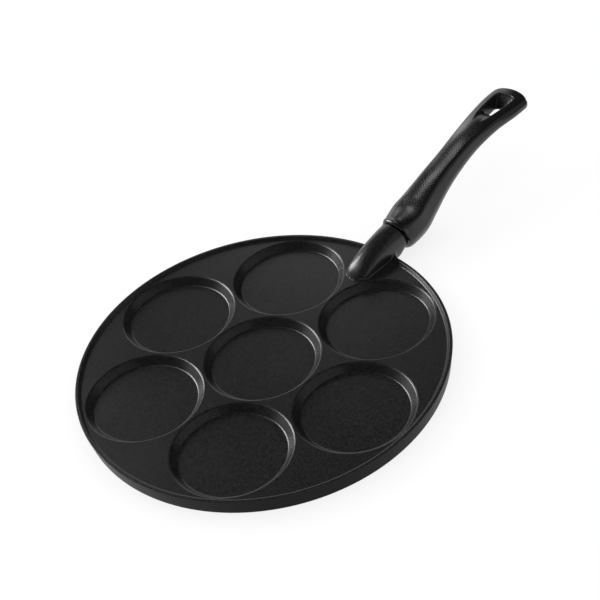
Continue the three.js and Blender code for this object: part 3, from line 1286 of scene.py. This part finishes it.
    def _knurled(self, reach: Array, across: Array, up: Array) -> Array:
        """Where the top panel carries its knurl.

        Args:
            reach: Distance from the lip.
            across: Distance from the middle plane.
            up: Height from the axis.

        Returns:
            1 on the knurl, 0 off it.
        """
        side = np.abs(across) - self._curve(reach, "panel")
        edge = soft_cut(side, self.panel_front - reach, self.panel_corner)
        share = soft_step(-edge, *self.knurl_edge) * soft_step(up, *self.knurl_up)
        ends = soft_step(reach, *self.knurl_start) * (1.0 - soft_step(reach, *self.knurl_end))
        return share * ends

    def build(self, finish: Material) -> Object:
        """Build the handle and dress it.

        Args:
            finish: The handle's material.

        Returns:
            The handle's piece.
        """
        mesh, points = self.skin("handle", self.room_low, self.room_high)
        reach, across, up = points.T
        knurled = self._knurled(reach, across, up)
        for name, values in (("panel", knurled), ("along", reach), ("across", across)):
            layer = mesh.attributes.new(name, "FLOAT", "POINT")
            layer.data.foreach_set("value", values.astype(np.float32))
        return place_piece("pan_handle", mesh, "handle", "phenolic", finish)


@dataclass
class Fastening:
    """The screw and split washer that hold the handle on its tang."""

    plate: Plate
    x: float = 165.0
    head_top: float = -3.4
    head_radius: float = 4.3
    head_height: float = 3.0
    head_cap: float = 0.4
    head_dome: float = 0.6
    head_edge: float = 0.25
    screw_radius: float = 2.5
    screw_length: float = 13.6
    point_length: float = 1.2
    point_share: float = 0.5
    drive_width: float = 1.3
    drive_depth: float = 1.6
    screw_segments: int = 48
    screw_steps: int = 5
    washer_top: float = -1.9
    washer_play: float = 0.3
    washer_width: float = 1.7
    washer_thickness: float = 1.2
    washer_gap: float = 12.0
    washer_spring: float = 0.25
    washer_steps: int = 72

    def build_screw(self, steel: Material) -> Object:
        """Build the pan-head screw, head down, with a cross recess.

        Args:
            steel: The screw's material.

        Returns:
            The screw's piece.
        """
        corners = [
            Corner(self.head_radius * self.head_cap, -self.head_height),
            Corner(self.head_radius, -self.head_height, self.head_height * self.head_dome),
            Corner(self.head_radius, 0.0, self.head_edge),
            Corner(self.screw_radius, 0.0),
            Corner(self.screw_radius, self.screw_length - self.point_length),
            Corner(self.screw_radius * self.point_share, self.screw_length),
        ]
        profile = rounded_profile(corners, self.screw_steps)
        blank = turned_mesh("screw_blank", profile, self.screw_segments)
        low = Vector((0.0, 0.0, -self.head_height)) * MM
        long, wide, deep = self.head_radius, self.drive_width, 2.0 * self.drive_depth
        tools = []
        for size in ((long, wide, deep), (wide, long, deep)):
            arm = bmesh.new()
            bmesh.ops.create_cube(arm, size=1.0, matrix=Matrix.Diagonal(Vector(size) * MM).to_4x4())
            tool = bpy.data.meshes.new("screw_drive")
            arm.to_mesh(tool)
            arm.free()
            tools.append((tool, low))
        mesh = worked_mesh(blank, tools, Cut.TAKE)
        seat = Vector((self.x, 0.0, self.plate.height + self.head_top)) * MM
        mesh.transform(Matrix.Translation(seat))
        piece = place_piece("pan_handle_screw", mesh, "handle_screw", "screw_steel", steel)
        keep_flat(piece)
        return piece

    def build_washer(self, steel: Material) -> Object:
        """Build the split spring washer, its ends a little apart.

        Args:
            steel: The washer's material.

        Returns:
            The washer's piece.
        """
        inner = self.screw_radius + self.washer_play
        outer = inner + self.washer_width
        start = math.radians(self.washer_gap / 2.0)
        rings = []
        for k in range(self.washer_steps + 1):
            share = k / self.washer_steps
            angle = start + (2.0 * math.pi - 2.0 * start) * share
            high = self.plate.height + self.washer_top + self.washer_spring * (share - 1.0)
            low = high - self.washer_thickness + self.washer_spring
            ring = []
            for radius, z in ((inner, low), (inner, high), (outer, high), (outer, low)):
                x, y = self.x + radius * math.cos(angle), radius * math.sin(angle)
                ring.append(Vector((x, y, z)) * MM)
            rings.append(ring)
        mesh = ringed_mesh("lock_washer", rings)
        return place_piece("pan_lock_washer", mesh, "lock_washer", "spring_steel", steel)


def direction(azimuth: float, elevation: float) -> Vector:
    """Direction from the pan at an azimuth from +X and an elevation, in degrees."""
    a, e = math.radians(azimuth), math.radians(elevation)
    return Vector((math.cos(e) * math.cos(a), math.cos(e) * math.sin(a), math.sin(e)))


def place_stage(
    name: str,
    points: Sequence[Triple | Vector],
    faces: Sequence[tuple[int, ...]],
    bench: ShaderBench,
) -> Object:
    """Put a sheet of the studio in the scene.

    Args:
        name: Name of the sheet.
        points: Its points, in metres.
        faces: Its faces by point number.
        bench: Bench of its material.

    Returns:
        The sheet's object.
    """
    mesh = bpy.data.meshes.new(name)
    mesh.from_pydata(points, [], faces)
    mesh.materials.append(bench.material)
    sheet = bpy.data.objects.new(name, mesh)
    bpy.context.scene.collection.objects.link(sheet)
    return sheet


@dataclass(frozen=True)
class SoftBox:
    """A soft box that faces one place: angles in degrees, lengths in metres and power in watts."""

    name: str
    azimuth: float
    elevation: float
    far: float
    size: Band
    watts: float
    diffuse: bool = False
    aim: Triple = (0.0, 0.0, 0.0)

    def hang(self, only: Object | None = None) -> None:
        """Hang the box.

        Args:
            only: The one piece that it lights, or none for all.
        """
        data = bpy.data.lights.new(self.name, "AREA")
        data.shape = "RECTANGLE"
        data.size, data.size_y = self.size
        data.energy = self.watts
        lamp = bpy.data.objects.new(self.name, data)
        way = direction(self.azimuth, self.elevation)
        lamp.location = Vector(self.aim) + way * self.far
        lamp.rotation_mode = "QUATERNION"
        lamp.rotation_quaternion = way.to_track_quat("Z", "Y")
        lamp.visible_diffuse = self.diffuse
        bpy.context.scene.collection.objects.link(lamp)
        if only is not None:
            group = bpy.data.collections.new(f"{self.name}_lights")
            group.objects.link(only)
            lamp.light_linking.receiver_collection = group


@dataclass(frozen=True)
class Card:
    """A curved card that only reflections show.

    Turns and lows are azimuths and elevations along its lower edge and top is the elevation of its
    upper edge, in degrees. Far is its distance in metres and level how light it is, 1 for white.
    """

    name: str
    turns: tuple[float, ...]
    lows: tuple[float, ...]
    top: float
    far: float
    level: float
    step: float = 5.0
    rows: int = 9

    def hang(self) -> None:
        """Hang the card."""
        rows = self.rows
        turns = np.arange(self.turns[0], self.turns[-1] + self.step / 2.0, self.step)
        lows = np.interp(turns, self.turns, self.lows)
        points = [
            direction(turn, rise) * self.far
            for turn, low in zip(turns, lows)
            for rise in np.linspace(low, self.top, rows)
        ]
        starts = [rows * i + j for i in range(len(turns) - 1) for j in range(rows - 1)]
        faces = [(k, k + rows, k + rows + 1, k + 1) for k in starts]
        bench = ShaderBench(self.name)
        tone = (self.level, self.level, self.level, 1.0)
        glow = {"Emission Color": tone, "Emission Strength": 1.0}
        bench.surface({"Base Color": BLACK, "Specular IOR Level": 0.0, **glow})
        card = place_stage(self.name, points, faces, bench)
        card.visible_camera = False
        card.visible_shadow = False
        card.visible_diffuse = False


GRIP_MIDDLE = (0.214, 0.0, 0.055)


@dataclass
class Studio:
    """Camera, white floor, soft boxes and cards round the pan. Lengths are metres."""

    azimuth: float = -129.64
    elevation: float = 40.19
    roll: float = 12.25
    place: Triple = (-0.4238, -0.5658, 0.6511)
    focal: float = 81.37
    sensor: float = 36.0
    floor_size: float = 12.0
    floor_drop: float = 0.0002
    floor_tone: float = 0.97
    floor_rough: float = 0.9
    floor_share: float = 0.8
    world_level: float = 1.0
    pan_boxes: tuple[SoftBox, ...] = (
        SoftBox("key_box", 100.0, 33.0, 1.5, (0.62, 0.66), 6.0, diffuse=True),
        SoftBox("edge_box", 100.0, 33.0, 1.48, (0.62, 0.66), 15.0),
    )
    handle_boxes: tuple[SoftBox, ...] = (
        SoftBox("grip_box", 69.5, 65.0, 1.1, (0.28, 0.3), 1.1, aim=GRIP_MIDDLE),
        SoftBox("side_box", 59.0, 31.0, 1.1, (0.23, 0.33), 0.75, aim=GRIP_MIDDLE),
        SoftBox("collar_box", 75.0, 21.0, 1.1, (0.2, 0.22), 0.42, aim=GRIP_MIDDLE),
        SoftBox("tail_box", 130.0, 42.0, 1.1, (0.34, 0.3), 0.4, aim=GRIP_MIDDLE),
    )
    cards: tuple[Card, ...] = (
        Card("back_card", (28, 108), (-3, -3), 21.0, 2.2, 1.1),
        Card(
            "dark_dome",
            (0, 25, 34, 42, 51, 60, 75, 105, 125, 140, 165, 200, 235, 260, 290, 320, 335, 360),
            (-4, -4, 30, 41, 37, 24, 20, 22, 18, 14, 8, 6, 8, 12, 12, 8, -4, -4),
            89.9,
            2.4,
            0.03,
        ),
        Card("fill_card", (236, 332), (14, 14), 42.0, 2.2, 0.35),
    )

    def camera(self) -> None:
        """Set up the camera."""
        level = direction(self.azimuth, self.elevation).to_track_quat("Z", "Y").to_matrix()
        turn = level @ Matrix.Rotation(-math.radians(self.roll), 3, "Z")
        data = bpy.data.cameras.new("camera")
        data.sensor_width = self.sensor
        data.lens = self.focal
        camera = bpy.data.objects.new("camera", data)
        camera.matrix_world = Matrix.Translation(self.place) @ turn.to_4x4()
        bpy.context.scene.collection.objects.link(camera)
        bpy.context.scene.camera = camera

    def world(self) -> None:
        """Make the surroundings white to the eye and in reflections, and plain light otherwise."""
        world = bpy.data.worlds.new("studio_world")
        world.use_nodes = True
        bench = NodeBench(world.node_tree, "ShaderNodeOutputWorld")
        light, white = (
            bench.node("ShaderNodeBackground", values={"Color": WHITE, "Strength": level})
            for level in (self.world_level, 1.0)
        )
        bench.show_seen(light, white)
        bpy.context.scene.world = world

    def floor(self) -> None:
        """Lay the white floor, which keeps the pan's shadow."""
        bench = ShaderBench("floor_white")
        tone = (self.floor_tone, self.floor_tone, self.floor_tone, 1.0)
        matt = {"Roughness": self.floor_rough, "Specular IOR Level": 0.0}
        shader = bench.surface({"Base Color": tone, **matt})
        white = bench.node("ShaderNodeEmission", values={"Color": WHITE, "Strength": 1.0})
        bench.show_seen(shader, white, self.floor_share)
        half = self.floor_size / 2.0
        corners = [(-half, -half, 0.0), (half, -half, 0.0), (half, half, 0.0), (-half, half, 0.0)]
        floor = place_stage("floor", corners, [(0, 1, 2, 3)], bench)
        floor.location.z = -self.floor_drop

    def build(self, handle: Object) -> None:
        """Set up the whole studio.

        Args:
            handle: The handle's piece, which has small boxes of its own.
        """
        self.camera()
        self.world()
        self.floor()
        for box in self.pan_boxes:
            box.hang()
        for box in self.handle_boxes:
            box.hang(handle)
        for card in self.cards:
            card.hang()
        bpy.context.scene.view_settings.view_transform = "Standard"


def main() -> None:
    """Build the pan, dress it and set it in the studio."""
    logging.basicConfig(level=logging.INFO, format="%(name)s %(message)s")
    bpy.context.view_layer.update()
    coat = CoatFinish().material()
    enamel = EnamelFinish().material()
    phenolic = PhenolicFinish().material()
    plated = SteelFinish("plated_steel", (0.62, 0.63, 0.64), 0.28).material()
    spring = SteelFinish("spring_steel", (0.4, 0.4, 0.41), 0.34).material()
    plate = Plate()
    body, neck = plate.build(coat, enamel), Neck(plate).build(coat)
    handle = Handle(plate).build(phenolic)
    fastening = Fastening(plate)
    screw, washer = fastening.build_screw(plated), fastening.build_washer(spring)
    for piece in (body, neck, handle, screw, washer):
        mesh = piece.data
        LOG.info("%s: %d points, %d faces", piece.name, len(mesh.vertices), len(mesh.polygons))
    Studio().build(handle)


if __name__ == "__main__":
    main()
